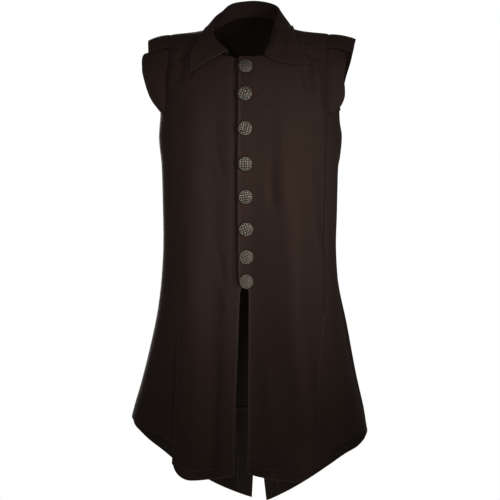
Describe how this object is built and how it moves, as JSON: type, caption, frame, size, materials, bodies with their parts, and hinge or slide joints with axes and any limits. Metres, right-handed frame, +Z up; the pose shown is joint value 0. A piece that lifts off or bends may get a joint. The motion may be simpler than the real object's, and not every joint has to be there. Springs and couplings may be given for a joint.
{
  "type": "medieval vest",
  "caption": "Long sleeveless buttoned vest with turned-down collar, wing caps, side slits and a shirt-tail hem, hollow as if worn.",
  "frame": {"origin": "between the shoulders, level with the side of the neck, where the wearer's shoulders hold the vest up", "axes": "+Z up, -Y to the front of the vest, +X to the wearer's left"},
  "size_m": [0.474, 0.2913, 1.0249],
  "materials": {
    "brown_cloth": "matte",
    "pewter": "antique"
  },
  "bodies": {
    "root": {"left_front": "brown_cloth", "right_front": "brown_cloth", "back_left": "brown_cloth", "back_right": "brown_cloth", "collar": "brown_cloth", "wing_front_left": "brown_cloth", "wing_front_right": "brown_cloth", "wing_back_left": "brown_cloth", "wing_back_right": "brown_cloth", "vent_facing_left": "brown_cloth", "vent_facing_right": "brown_cloth", "button_1": "pewter", "button_2": "pewter", "button_3": "pewter", "button_4": "pewter", "button_5": "pewter", "button_6": "pewter", "button_7": "pewter", "button_8": "pewter"}
  },
  "joints": []
}
